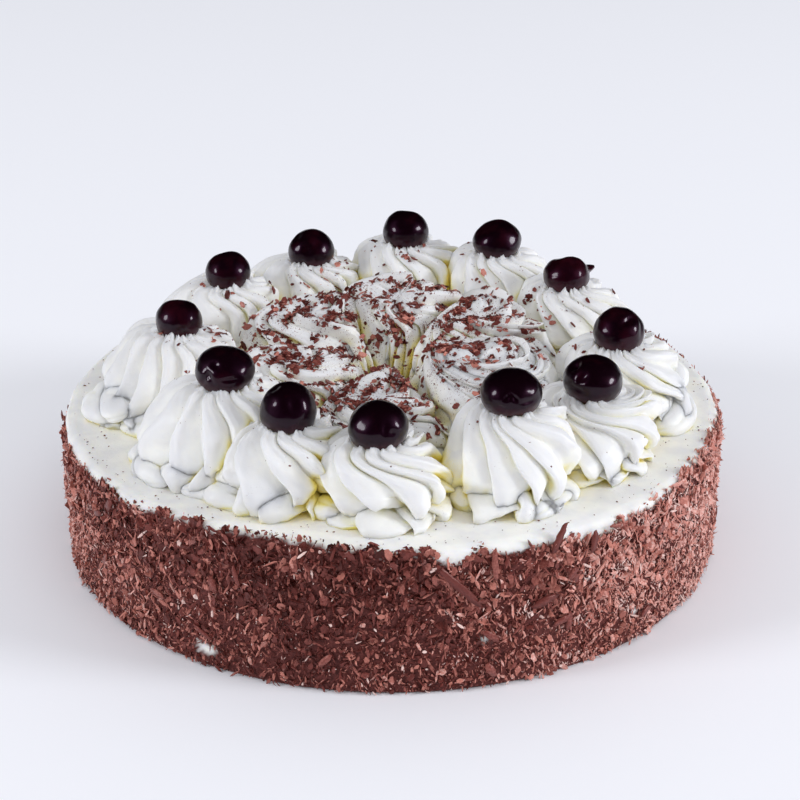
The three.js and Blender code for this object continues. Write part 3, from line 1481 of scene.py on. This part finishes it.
# The cherries, in the order of the nodes.
CHERRIES = [
    Fruit(0.98, 1.02, 0.05, (Dent(80, 60, 18, 1.0), Dent(300, -45, 10, 0.5), Dent(262, 40, 12, 0.5))),
    Fruit(0.90, 1.05, 0.10, (Dent(200, 50, 30, 1.6), Dent(280, 70, 8, 0.6, 2.0, 50))),
    Fruit(0.92, 1.03, 0.30, (
        Dent(110, 65, 24, 2.0, 1.6, 60), Dent(28, 8, 13, -4.6, 0.6, 0), Dent(300, 55, 12, 0.6),
    )),
    Fruit(0.97, 1.01, 0.16, (
        Dent(290, 48, 9, 1.2, 2.2, 70), Dent(20, 35, 16, 0.9), Dent(330, 20, 7, 0.6, 3, 20),
    )),
    Fruit(0.90, 1.06, 0.06, (
        Dent(190, 48, 13, 2.2), Dent(240, 30, 8, 1.0, 1.8, 30), Dent(236, 2, 7, 0.7, 2.0, 100),
        Dent(228, 16, 6, -0.5),
    )),
    Fruit(0.83, 1.08, 0.0, (
        Dent(258, 18, 4, 0.9, 3.4, 28), Dent(272, 18, 4, 0.9, 3.0, -28), Dent(246, -8, 7, 0.8),
        Dent(300, 4, 6, 0.6, 2.6, 84),
    )),
    Fruit(0.90, 1.05, 0.0, (Dent(237, 24, 17, 0.50), Dent(284, 20, 5, 0.6, 2.5, 10), Dent(300, 12, 9, 0.5))),
    Fruit(1.04, 1.02, 0.0, (
        Dent(268, -58, 20, 2.4), Dent(285, 34, 12, 0.7), Dent(180, 62, 14, 1.2), Dent(300, -40, 9, -0.9),
    )),
    Fruit(0.88, 1.06, 0.04, (
        Dent(232, 4, 5, 0.9, 3.0, 36), Dent(243, 6, 5, 0.8, 2.8, -32), Dent(250, 38, 9, 0.8),
        Dent(286, 4, 6, 0.5, 2.4, 88),
    )),
    Fruit(0.97, 1.0, 0.14, (Dent(290, -14, 12, 0.9), Dent(90, 60, 20, 0.9), Dent(310, 5, 6, 0.5, 2, 60))),
    Fruit(0.98, 1.01, 0.12, (Dent(120, 55, 18, 0.8), Dent(265, -50, 12, 0.6), Dent(262, 30, 14, 0.4))),
    Fruit(0.94, 1.03, 0.05, (
        Dent(262, 20, 12, 0.7), Dent(250, -18, 8, 0.6), Dent(200, 50, 16, 1.2), Dent(290, 40, 10, 0.6),
    )),
]


# ---------------------------------------------------------------- shavings and crumbs


class Cut(Enum):
    """The shapes that the scattered pieces of chocolate have."""

    SLIVER = "sliver"
    FLAKE = "flake"
    CRUMB = "crumb"
    CURL = "curl"

    def template(self) -> bmesh.types.BMesh:
        """One piece of this cut, about 1 long, with its length along X.

        Returns:
            The piece, to be copied.
        """
        shape = bmesh.new()
        if self is Cut.SLIVER:
            bmesh.ops.create_uvsphere(shape, u_segments=3, v_segments=3, radius=0.5)
            for vert in shape.verts:
                vert.co = (vert.co.z, vert.co.x, vert.co.y)
        elif self is Cut.FLAKE:
            bmesh.ops.create_cone(shape, cap_ends=True, segments=6, radius1=0.5, radius2=0.44, depth=1.0)
        elif self is Cut.CRUMB:
            bmesh.ops.create_uvsphere(shape, u_segments=4, v_segments=2, radius=0.5)
        else:
            bmesh.ops.create_cube(shape, size=1.0)
            long_edges = [e for e in shape.edges if abs((e.verts[0].co - e.verts[1].co).x) > 0.5]
            bmesh.ops.subdivide_edges(shape, edges=long_edges, cuts=8, use_grid_fill=False)
            for vert in shape.verts:
                vert.co.yz *= math.sqrt(1 - (1.86 * vert.co.x) ** 2)
        bmesh.ops.recalc_face_normals(shape, faces=shape.faces)
        return shape


@dataclass
class Scatter:
    """Many small pieces of one cut, joined in one mesh.

    Attributes:
        name: The piece's name.
        cut: Their shape.
        seed: Fixes their unevenness.
        ragged: How uneven each outline is.
    """

    name: str
    cut: Cut
    seed: int
    ragged: float = 0.32

    STRAIGHTEST = 0.02  # the least bend, in radians

    def build(
        self, spots: Points, normals: Points, along: Points, sizes: Points, bends: Numbers, tones: Numbers
    ) -> bpy.types.Mesh:
        """Copies the cut to every spot.

        Args:
            spots: The middles.
            normals: The directions of their flat sides.
            along: The directions of their length.
            sizes: Length, width and thickness of each.
            bends: How far each is bent, as the turn in radians from end to end.
            tones: How light each is, from 0 to 1.

        Returns:
            The joined mesh.
        """
        rng = np.random.default_rng(self.seed)
        pattern = mesh_from(self.cut.template(), self.name + "_cut")
        corner = places_of(pattern)
        count, points = len(spots), len(corner)
        local = corner[None] * sizes[:, None, :]
        local = local * (1 + self.ragged * rng.uniform(-1, 1, (count, points, 1)) * [1, 1, 0.3])
        turn = np.where(np.abs(bends) < self.STRAIGHTEST, self.STRAIGHTEST, bends)[:, None]
        radius = sizes[:, :1] / turn
        angle = local[..., 0] / radius
        height = radius - local[..., 2]
        bent = np.stack([height * np.sin(angle), local[..., 1], radius - height * np.cos(angle)], -1)
        along = along - normals * (along * normals).sum(1, keepdims=True)
        along /= np.maximum(np.linalg.norm(along, axis=1, keepdims=True), 1e-9)
        side = np.cross(normals, along)
        frame = np.stack([along, side, normals], 1)
        places = spots[:, None] + np.einsum("npk,nkj->npj", bent, frame)
        places[..., 2] = np.maximum(places[..., 2], 0.0)
        mesh = self.copies(pattern, places)
        mark(mesh, "tone", np.repeat(tones, points))
        return mesh

    def copies(self, pattern: bpy.types.Mesh, places: Points) -> bpy.types.Mesh:
        """Joins copies of a pattern.

        Args:
            pattern: The mesh that is copied, and removed afterwards.
            places: The places of each copy's vertices.

        Returns:
            The joined mesh.
        """
        count, points = places.shape[:2]
        corners = np.array([loop.vertex_index for loop in pattern.loops])
        starts = np.array([face.loop_start for face in pattern.polygons])
        shift = np.arange(count)[:, None]
        mesh = bpy.data.meshes.new(self.name)
        mesh.vertices.add(count * points)
        mesh.vertices.foreach_set("co", places.astype(np.float32).ravel())
        mesh.loops.add(count * len(corners))
        mesh.loops.foreach_set("vertex_index", (corners + shift * points).astype(np.int32).ravel())
        mesh.polygons.add(count * len(starts))
        mesh.polygons.foreach_set("loop_start", (starts + shift * len(corners)).astype(np.int32).ravel())
        mesh.update(calc_edges=True)
        mesh.validate()
        bpy.data.meshes.remove(pattern)
        return mesh


@dataclass(frozen=True)
class SideKind:
    """One kind of shaving on the side.

    Attributes:
        name: The piece's name.
        cut: Their shape.
        count: How many.
        seed: Fixes their places.
        lengths: Shortest and longest.
        widths: Narrowest and widest, as shares of the length.
        thickness: Of each.
        stand: How far they stand off the side, in radians.
        bend: How far they are bent, in radians.
        over: How far above the chocolate's line they may go.
        proud: How far their middles are from the coat.
        painted_glinting: How many of them are painted pale as highlights, next to the usual share.
    """

    name: str
    cut: Cut
    count: int
    seed: int
    lengths: tuple[float, float]
    widths: tuple[float, float]
    thickness: float
    stand: float
    bend: float
    over: float
    proud: float
    painted_glinting: float


SIDE_KINDS = [
    SideKind("side_slivers", Cut.SLIVER, 16000, 41, (1.8 * MM, 6.0 * MM), (0.13, 0.36), 0.32 * MM,
             stand=0.46, bend=0.5, over=0.8 * MM, proud=1.5 * MM, painted_glinting=1.2),
    SideKind("side_flakes", Cut.FLAKE, 9000, 42, (1.5 * MM, 4.6 * MM), (0.4, 0.8), 0.26 * MM,
             stand=0.40, bend=0.6, over=0.6 * MM, proud=1.4 * MM, painted_glinting=0.35),
    SideKind("side_crumbs", Cut.CRUMB, 22000, 43, (0.5 * MM, 1.5 * MM), (0.4, 0.9), 0.55 * MM,
             stand=0.5, bend=0.1, over=1.2 * MM, proud=1.0 * MM, painted_glinting=1.4),
]


@dataclass
class SideShavings:
    """The shavings pressed on round the cake, their tones carrying painted light, painted shade and painted
    highlights.

    Attributes:
        body: The cake.
        finish: Their material.
        painted_light_way: Direction from which the painted light on the shavings comes, where they are
            painted palest.
        painted_light_strength: How much paler they are painted there.
        painted_glints: Share of them painted pale as highlights.
        rim_count: How many flakes stand up where the chocolate ends.
        other_curls: How many large curls lie on the rest of the side.
        curls: Each large curl in front: direction in degrees, height, length and width in millimetres,
            and slant in degrees.
    """

    body: CakeBody
    finish: bpy.types.Material
    painted_light_way: float = math.radians(-22)
    painted_light_strength: float = 0.76
    painted_glints: float = 0.08
    rim_count: int = 2600
    other_curls: int = 34
    curls: tuple = (
        (-80.2, 43.5, 24, 2.8, -42),
        (-74.6, 50.5, 12, 2.2, -3),
        (-64.2, 55.5, 11.5, 2.8, 24),
        (-66.3, 32, 10, 3.2, 72),
        (-61.3, 39, 8.5, 2.8, -34),
        (-61.8, 21, 7, 2.2, 2),
        (-57.7, 50.5, 8.5, 2.8, 4),
        (-42.7, 43, 5, 3.4, 50),
        (-114.3, 42, 8, 1.8, -14),
    )

    FOOT = 0.9 * MM  # height of the lowest shavings
    # The tone of a painted highlight.
    PAINTED_GLINT_TONE = 0.97

    def painted_light(self, out: Points) -> Numbers:
        """How much paler the shavings are painted, as painted light from the front right and, weaker, from
        the left.

        Args:
            out: Directions out of the cake.

        Returns:
            A number for each.
        """
        right = out @ np.array([*polar(1.0, self.painted_light_way), 0.0])
        left = out @ np.array([*polar(1.0, self.painted_light_way - math.radians(150)), 0.0])
        return self.painted_light_strength * (np.clip(right, 0, 1) ** 2 + 0.55 * np.clip(left, 0, 1) ** 2 - 0.15)

    def tones(self, spots: Points, out: Points, rng: np.random.Generator) -> Numbers:
        """How light each shaving is: much as its neighbours, paler to the right by painted light, and darker
        high up by painted shade.

        Args:
            spots: Their middles.
            out: The directions out of the cake there.
            rng: The source of chance.

        Returns:
            A number from 0 to 0.84 for each.
        """
        own = 0.76 * rng.beta(1.2, 2.0, len(spots))
        near = 0.10 * Waves(6 * MM, 60).at(spots) + 0.10 * Waves(26 * MM, 61).at(spots)
        # Painted shade under the rim.
        high = 0.12 * smooth(26 * MM, 50 * MM, spots[:, 2])
        return np.clip(0.09 + own + near - high + self.painted_light(out), 0, 0.84)

    def spots(self, count: int, rng: np.random.Generator, over: float) -> tuple[Points, Points]:
        """Places on the side.

        Args:
            count: How many.
            rng: The source of chance.
            over: How far above the chocolate's line they may go.

        Returns:
            The places and the directions out of the cake there.
        """
        angle = rng.uniform(-math.pi, math.pi, count)
        line = self.body.line(angle)
        height = self.FOOT + (line + over - self.FOOT) * rng.uniform(0, 1, count)
        ring = level(1.0, angle)
        roll = np.clip(height - (self.body.height - self.body.rim), 0, self.body.rim)
        inset = self.body.rim - np.sqrt(np.maximum(self.body.rim**2 - roll**2, 0))
        spots = ring * (self.body.radius - 0.5 * MM - inset)[:, None]
        spots[:, 2] = height
        spots[:, 2] += 5 * MM * (self.body.wear(spots) > 0.2)
        spots += ring * (0.55 * MM * Waves(24 * MM, 7).at(spots))[:, None]
        return spots, ring

    def lay(self, kind: SideKind) -> bpy.types.Object:
        """Lays one kind of shaving on the side.

        Args:
            kind: The kind.

        Returns:
            The piece.
        """
        count = kind.count
        rng = np.random.default_rng(kind.seed)
        spots, out = self.spots(count, rng, kind.over)
        slant = rng.normal(0, 0.62, count)
        slant = np.where(rng.random(count) < 0.20, rng.uniform(-math.pi, math.pi, count), slant)
        along = slanting(out, slant)
        tip = rng.normal(0, kind.stand, count)[:, None]
        tilt = rng.normal(0, 1.3 * kind.stand, count)[:, None]
        sideways = np.cross(out, along)
        along = along * np.cos(tip) + out * np.sin(tip)
        normals = np.cross(along, sideways)
        normals = normals * np.cos(tilt) + sideways * np.sin(tilt)
        normals *= np.sign((normals * out).sum(1, keepdims=True))
        length = between(kind.lengths, rng.random(count) ** 1.7)
        length *= 0.78 + 0.34 * smooth(8 * MM, 46 * MM, spots[:, 2])
        width = length * rng.uniform(*kind.widths, count)
        sizes = np.stack([length, width, np.full(count, kind.thickness)], -1)
        bends = rng.normal(0, kind.bend, count)
        tones = self.tones(spots, out, rng)
        # Painted highlights: some shavings, gathered in patches where the painted light is strongest, are
        # painted pale and made smaller.
        painted_glint_patch = smooth(0.1, 1.3, Waves(11 * MM, 62).at(spots)) * smooth(0.0, 0.5, self.painted_light(out) + 0.1)
        painted_glints = rng.random(count) < self.painted_glints * (0.30 + 13 * painted_glint_patch) * kind.painted_glinting
        tones = np.where(painted_glints, self.PAINTED_GLINT_TONE, tones)
        sizes[painted_glints, :2] *= 0.7
        spots = spots + out * rng.uniform(0.0, kind.proud, count)[:, None]
        mesh = Scatter(kind.name, kind.cut, kind.seed).build(spots, normals, along, sizes, bends, tones)
        return place_piece(mesh, self.finish, flat=True)

    def rim_flakes(self) -> bpy.types.Object:
        """Stands flakes up where the chocolate ends, in clumps.

        Returns:
            The piece.
        """
        count = self.rim_count
        rng = np.random.default_rng(47)
        angle = rng.uniform(-math.pi, math.pi, count * 3)
        clumped = Waves(12 * MM, 48).at(level(self.body.radius, angle)) + 0.5 * rng.random(count * 3)
        angle = angle[np.argsort(-clumped)[:count]]
        out = level(1.0, angle)
        slant = rng.normal(0, 0.6, count)
        lean = rng.normal(0.1, 0.35, count)[:, None]
        along = slanting(out, slant) * np.cos(lean) + out * np.sin(lean)
        length = rng.uniform(1.6 * MM, 4.6 * MM, count) * rng.uniform(0.6, 1.1, count)
        sizes = np.stack([length, length * rng.uniform(0.3, 0.75, count), np.full(count, 0.3 * MM)], -1)
        spots = out * (self.body.radius - rng.uniform(0.4 * MM, 3.4 * MM, count))[:, None]
        spots[:, 2] = self.body.line(angle) + rng.uniform(-1.2 * MM, 1.1 * MM, count)
        tones = self.tones(spots, out, rng)
        bends = rng.normal(0, 0.5, count)
        mesh = Scatter("rim_flakes", Cut.FLAKE, 49).build(spots, out, along, sizes, bends, tones)
        return place_piece(mesh, self.finish, flat=True)

    def large_curls(self) -> bpy.types.Object:
        """Lays the few large curls: some where they catch the eye in front, the rest by chance.

        Returns:
            The piece.
        """
        rng = np.random.default_rng(53)
        ranges = ((-180, 180), (8, 54), (5, 9), (1.6, 3.0), (-80, 80))
        chance = [[rng.uniform(*ends) for ends in ranges] for _ in range(self.other_curls)]
        angle, height, length, width, slant = np.array([*self.curls, *chance]).T
        count = len(angle)
        out = level(1.0, np.radians(angle))
        sizes = np.stack([length, width, np.full(count, 0.55)], -1) * MM
        spots = out * (self.body.radius + 1.6 * MM) + height[:, None] * UP * MM
        bends = rng.uniform(-0.5, 0.5, count)
        tones = rng.uniform(0.25, 0.48, count)
        along = slanting(out, np.radians(slant))
        mesh = Scatter("large_curls", Cut.CURL, 54, 0.16).build(spots, out, along, sizes, bends, tones)
        return place_piece(mesh, self.finish)

    def dress(self) -> list[bpy.types.Object]:
        """Lays every kind."""
        return [*map(self.lay, SIDE_KINDS), self.rim_flakes(), self.large_curls()]


@dataclass
class TopShavings:
    """The shavings and dust sprinkled on the piped cream and the flat top.

    Attributes:
        creams: The piped pieces.
        body: The cake.
        finish: Their material.
        speck_count: How many fine specks there are.
    """

    creams: list[bpy.types.Object]
    body: CakeBody
    finish: bpy.types.Material
    speck_count: int = 800

    def surface(self) -> tuple[Points, Points]:
        """The surface of the piped cream.

        Returns:
            Its places and the directions that it faces there.
        """
        places, normals = [], []
        for cream in self.creams:
            mesh = cream.data
            found = np.empty(len(mesh.vertices) * 3, np.float32)
            mesh.vertex_normals.foreach_get("vector", found)
            places.append(places_of(mesh))
            normals.append(found.reshape(-1, 3).astype(float))
        return np.concatenate(places), np.concatenate(normals)

    def sprinkle(
        self,
        name: str,
        cut: Cut,
        count: int,
        seed: int,
        lengths: tuple[float, float],
        spread: float,
        patchy: float,
    ) -> bpy.types.Object:
        """Sprinkles one kind over the middle of the cake.

        Args:
            name: The piece's name.
            cut: Their shape.
            count: How many.
            seed: Fixes their places.
            lengths: Shortest and longest.
            spread: Distance from the axis within which most lie.
            patchy: How much they gather in patches.

        Returns:
            The piece.
        """
        rng = np.random.default_rng(seed)
        places, normals = self.surface()
        across = np.hypot(places[:, 0], places[:, 1])
        weight = np.clip(normals[:, 2] - 0.1, 0, 1) ** 1.5
        weight *= 1 / (1 + (across / spread) ** 12)
        weight *= np.clip(0.26 + patchy * Waves(9 * MM, 77).at(places), 0.03, 3)
        chosen = rng.choice(len(places), count, p=weight / weight.sum())
        way = normals[chosen] + rng.normal(0, 0.28, (count, 3))
        way /= np.linalg.norm(way, axis=1, keepdims=True)
        along = rng.normal(size=(count, 3))
        length = between(lengths, rng.random(count) ** 1.8)
        sizes = np.stack([length, length * rng.uniform(0.3, 0.8, count), 0.1 * MM + 0.08 * length], -1)
        spots = places[chosen] + rng.normal(0, 0.5 * MM, (count, 3)) * [1, 1, 0.1] + way * 0.1 * MM
        tones = np.clip(0.86 * rng.beta(2.0, 3.0, count), 0, 1)
        bends = rng.normal(0, 0.4, count)
        mesh = Scatter(name, cut, seed + 1).build(spots, way, along, sizes, bends, tones)
        return place_piece(mesh, self.finish, flat=True)

    def specks(self) -> bpy.types.Object:
        """Strews a few specks over the flat top and everything on it.

        Returns:
            The piece.
        """
        count = self.speck_count
        rng = np.random.default_rng(57)
        places, normals = self.surface()
        facing_up = np.clip(normals[:, 2], 0, 1)
        chosen = rng.choice(len(places), count // 2, p=facing_up / facing_up.sum())
        far = self.body.radius - self.body.rim - 14 * MM * rng.random(count - len(chosen)) ** 1.6
        on_top = level(far, rng.uniform(-math.pi, math.pi, len(far))) + UP * self.body.height
        spots = np.concatenate([places[chosen], on_top])
        ways = np.concatenate([normals[chosen], np.tile(UP, (len(far), 1))])
        length = rng.uniform(0.35 * MM, 1.3 * MM, count) * rng.uniform(0.5, 1, count)
        sizes = np.stack([length, 0.7 * length, 0.5 * length], -1)
        along = rng.normal(size=(count, 3))
        tones = rng.uniform(0.05, 0.4, count)
        mesh = Scatter("fine_specks", Cut.CRUMB, 58).build(spots, ways, along, sizes, np.zeros(count), tones)
        return place_piece(mesh, self.finish)

    def dress(self) -> list[bpy.types.Object]:
        """Sprinkles every kind.

        Returns:
            The pieces.
        """
        flakes, crumbs = (1.1 * MM, 4.2 * MM), (0.4 * MM, 1.2 * MM)
        return [
            self.sprinkle("top_shavings", Cut.FLAKE, 9400, 51, flakes, spread=59 * MM, patchy=0.8),
            self.specks(),
            self.sprinkle("top_dust", Cut.CRUMB, 7000, 52, crumbs, spread=66 * MM, patchy=0.3),
        ]


# ---------------------------------------------------------------- the studio


@dataclass(frozen=True)
class SoftLight:
    """A round soft light that faces the cake, and that glossy things show.

    Attributes:
        name: Its name.
        azimuth: Its direction in degrees, from -Y towards +X.
        climb: Its height in degrees.
        distance: From the cake.
        size: Its diameter.
        power: In watts.
        colour: Of its light.
    """

    name: str
    azimuth: float
    climb: float
    distance: float
    size: float
    power: float
    colour: tuple = (0.93, 0.95, 1.0)

    def hang(self) -> bpy.types.Object:
        """Makes the light.

        Returns:
            The lamp.
        """
        area = bpy.data.lights.new(self.name, "AREA")
        area.shape = "DISK"
        area.size = self.size
        area.energy = self.power
        area.color = self.colour
        return hung(area, self.azimuth, self.climb, self.distance)


def hung(light: bpy.types.Light, azimuth: float, climb: float, distance: float) -> bpy.types.Object:
    """Hangs a light in a direction from the cake, facing it.

    Args:
        light: The light.
        azimuth: Its direction in degrees, from -Y towards +X.
        climb: Its height in degrees.
        distance: From the cake.

    Returns:
        The lamp.
    """
    lamp = add_object(light.name, light)
    turn, lift = math.radians(azimuth), math.radians(climb)
    way = Vector((math.sin(turn) * math.cos(lift), -math.cos(turn) * math.cos(lift), math.sin(lift)))
    lamp.location = CAKE_MIDDLE + way * distance
    lamp.rotation_euler = (-way).to_track_quat("-Z", "Y").to_euler()
    return lamp


@dataclass
class Studio:
    """The pale floor, the lights and the camera.

    Attributes:
        floor_colour: Of the floor far from the cake.
        floor_near_shade: How bright it is painted next to the cake, as a share of that, as painted shade.
        floor_fade: Distances from the cake over which it changes.
        world_colour: Of the light from all round.
        world_strength: Its strength.
        sun_strength: Of the soft light from above.
        sun_angle: How wide that light is, in degrees.
        lens: The camera's, in millimetres.
        sensor: Width of its sensor, in millimetres.
        eye: Its place.
        sight: The way it looks.
        lights: The soft lights beside the cake.
    """

    floor_colour: tuple = (0.955, 0.962, 1.0)
    floor_near_shade: float = 0.985
    floor_fade: tuple = (0.25, 1.9)
    world_colour: tuple = (0.95, 0.96, 1.0)
    world_strength: float = 0.555
    sun_strength: float = 0.38
    sun_angle: float = 50
    lens: float = 82.3
    sensor: float = 36
    eye: tuple = (0.0, -0.6684, 0.3592)
    sight: tuple = (0.00438, 0.90951, -0.41565)
    lights: tuple = (
        SoftLight("left_soft_light", -70, 24, 3.0, 0.95, 33),
        SoftLight("right_soft_light", 76, 21, 3.0, 0.95, 46),
    )

    def floor(self) -> None:
        """Lays the floor, with painted shade that makes it slightly darker next to the cake than far off."""
        shape = bmesh.new()
        bmesh.ops.create_grid(shape, x_segments=2, y_segments=2, size=6)
        plane = add_object("studio_floor", mesh_from(shape, "studio_floor"))
        wiring = Wiring("studio_floor")
        away = wiring.add("ShaderNodeVectorMath", {0: wiring.object_place()}, operation="LENGTH")
        # Painted shade: darker next to the cake, brighter far off.
        near = tuple(self.floor_near_shade * c for c in self.floor_colour)
        fade = wiring.span(away.outputs["Value"], self.floor_fade)
        shade = wiring.ramp(fade, [(0.0, near), (1.0, self.floor_colour)])
        inputs = {"Base Color": shade, "Roughness": 0.85, "Specular IOR Level": 0.1}
        plane.data.materials.append(wiring.finish(inputs))

    def overhead(self) -> None:
        """Lights the floor and the cake evenly from above, from the left."""
        light = bpy.data.lights.new("overhead_soft_light", "SUN")
        light.energy = self.sun_strength
        light.angle = math.radians(self.sun_angle)
        hung(light, 24, 60, 3.0).visible_glossy = False

    def sky(self) -> None:
        """Sets the light from all round."""
        world = bpy.data.worlds.new("studio")
        bpy.context.scene.world = world
        world.use_nodes = True
        sky = world.node_tree.nodes["Background"]
        sky.inputs["Color"].default_value = (*self.world_colour, 1)
        sky.inputs["Strength"].default_value = self.world_strength
        world.cycles_visibility.glossy = False

    def camera(self) -> None:
        """Sets the camera up in front of the cake, above it."""
        lens = bpy.data.cameras.new("camera")
        lens.lens = self.lens
        lens.sensor_width = self.sensor
        camera = add_object("camera", lens)
        camera.location = self.eye
        camera.rotation_euler = Vector(self.sight).to_track_quat("-Z", "Y").to_euler()
        bpy.context.scene.camera = camera

    def set_up(self) -> None:
        """Sets everything up."""
        self.camera()
        self.floor()
        self.sky()
        self.overhead()
        for light in self.lights:
            light.hang()
        bpy.context.scene.view_settings.view_transform = "Standard"


def main() -> None:
    """Builds the cake and its studio."""
    logging.basicConfig(level=logging.INFO, format="%(message)s")
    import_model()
    Studio().set_up()

    cream = CreamFinish()
    chocolate = ChocolateFinish()
    cream_material = cream.make()
    chocolate_material = chocolate.make()

    body_box = NodeBox.of("cake_body")
    body = CakeBody(radius=body_box.high.x, height=body_box.high.z)
    body.dress(CoatFinish(cream, chocolate).make())

    seats = [NodeBox.of(f"cherry_{i + 1:02d}") for i in range(len(CHERRIES))]
    rosettes = PipedRing("rosette", ROSETTE_HANDS, body.height, seats).dress(cream_material)
    swirls = PipedRing("inner_swirl", SWIRL_HANDS, body.height, []).dress(cream_material)

    skin = CherryFinish().make()
    for i, (seat, fruit) in enumerate(zip(seats, CHERRIES)):
        Cherry(i + 1, seat, fruit).dress(skin)

    SideShavings(body, chocolate_material).dress()
    TopShavings(rosettes + swirls, body, chocolate_material).dress()


if __name__ == "__main__":
    main()
